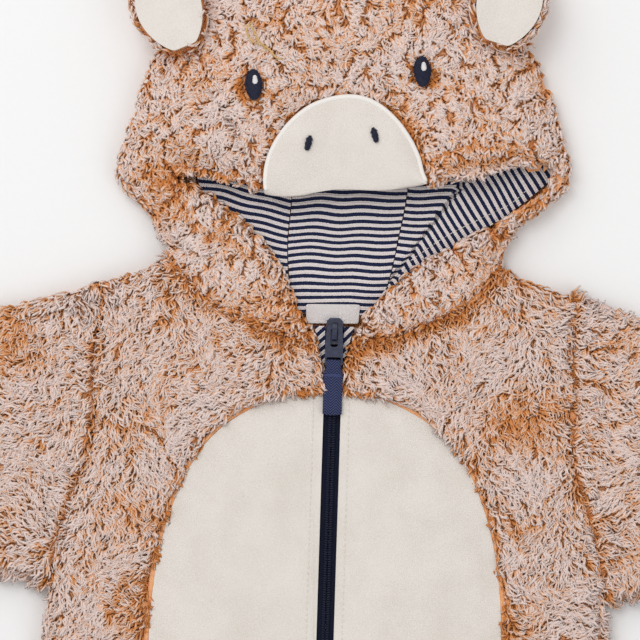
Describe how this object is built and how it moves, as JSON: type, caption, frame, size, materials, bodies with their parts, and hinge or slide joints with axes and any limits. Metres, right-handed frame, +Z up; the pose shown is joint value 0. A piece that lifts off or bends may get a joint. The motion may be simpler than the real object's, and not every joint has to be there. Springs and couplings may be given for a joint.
{
  "type": "fleece pramsuit",
  "caption": "Baby's hooded one-piece suit in deep pile fleece with an animal face hood, laid flat, with a cream tummy panel, striped hood lining and a front zip whose pull swings.",
  "frame": {"origin": "on the surface that the suit lies on, below the middle of its plan", "axes": "+Z up from the surface, +Y along the zip towards the hood, +X to the right seen from above"},
  "size_m": [0.723, 0.816, 0.0338],
  "materials": {
    "fleece": "deep curly pile, pale tips over ginger roots",
    "velour": "short soft nap",
    "striped_jersey": "fine knit with navy and off-white stripes",
    "label_tape": "smooth woven tape, bare",
    "navy_thread": "satin stitch",
    "zip_tape": "woven zip tape",
    "navy_metal": "semi-gloss enamel",
    "webbing": "herringbone tape"
  },
  "bodies": {
    "garment": {"back_left": "fleece", "back_right": "fleece", "front_left": "fleece", "front_right": "fleece", "sleeve_left": "fleece", "sleeve_right": "fleece", "hood_back": "fleece", "hood_face": "fleece", "hood_side_left": "fleece", "hood_side_right": "fleece", "ear_back_left": "fleece", "ear_back_right": "fleece", "ear_front_left": "velour", "ear_front_right": "velour", "belly_left": "velour", "belly_right": "velour", "muzzle": "velour", "hood_lining_left": "striped_jersey", "hood_lining_centre": "striped_jersey", "hood_lining_right": "striped_jersey", "zip_facing_left": "striped_jersey", "zip_facing_right": "striped_jersey", "neck_label": "label_tape", "eye_left": "navy_thread", "eye_right": "navy_thread", "nostril_left": "navy_thread", "nostril_right": "navy_thread", "zip_tape_left": "zip_tape", "zip_tape_right": "zip_tape", "zip_chain": "zip_tape", "slider": "navy_metal"},
    "zip_pull": {"pull_tab": "navy_metal", "pull_tape": "webbing"}
  },
  "joints": [
    {"name": "pull_swing", "type": "hinge", "parent": "garment", "child": "zip_pull", "pos_m": [0, 0.199, 0.0137], "axis": [-1, 0, 0], "range_deg": [0, 150]}
  ]
}
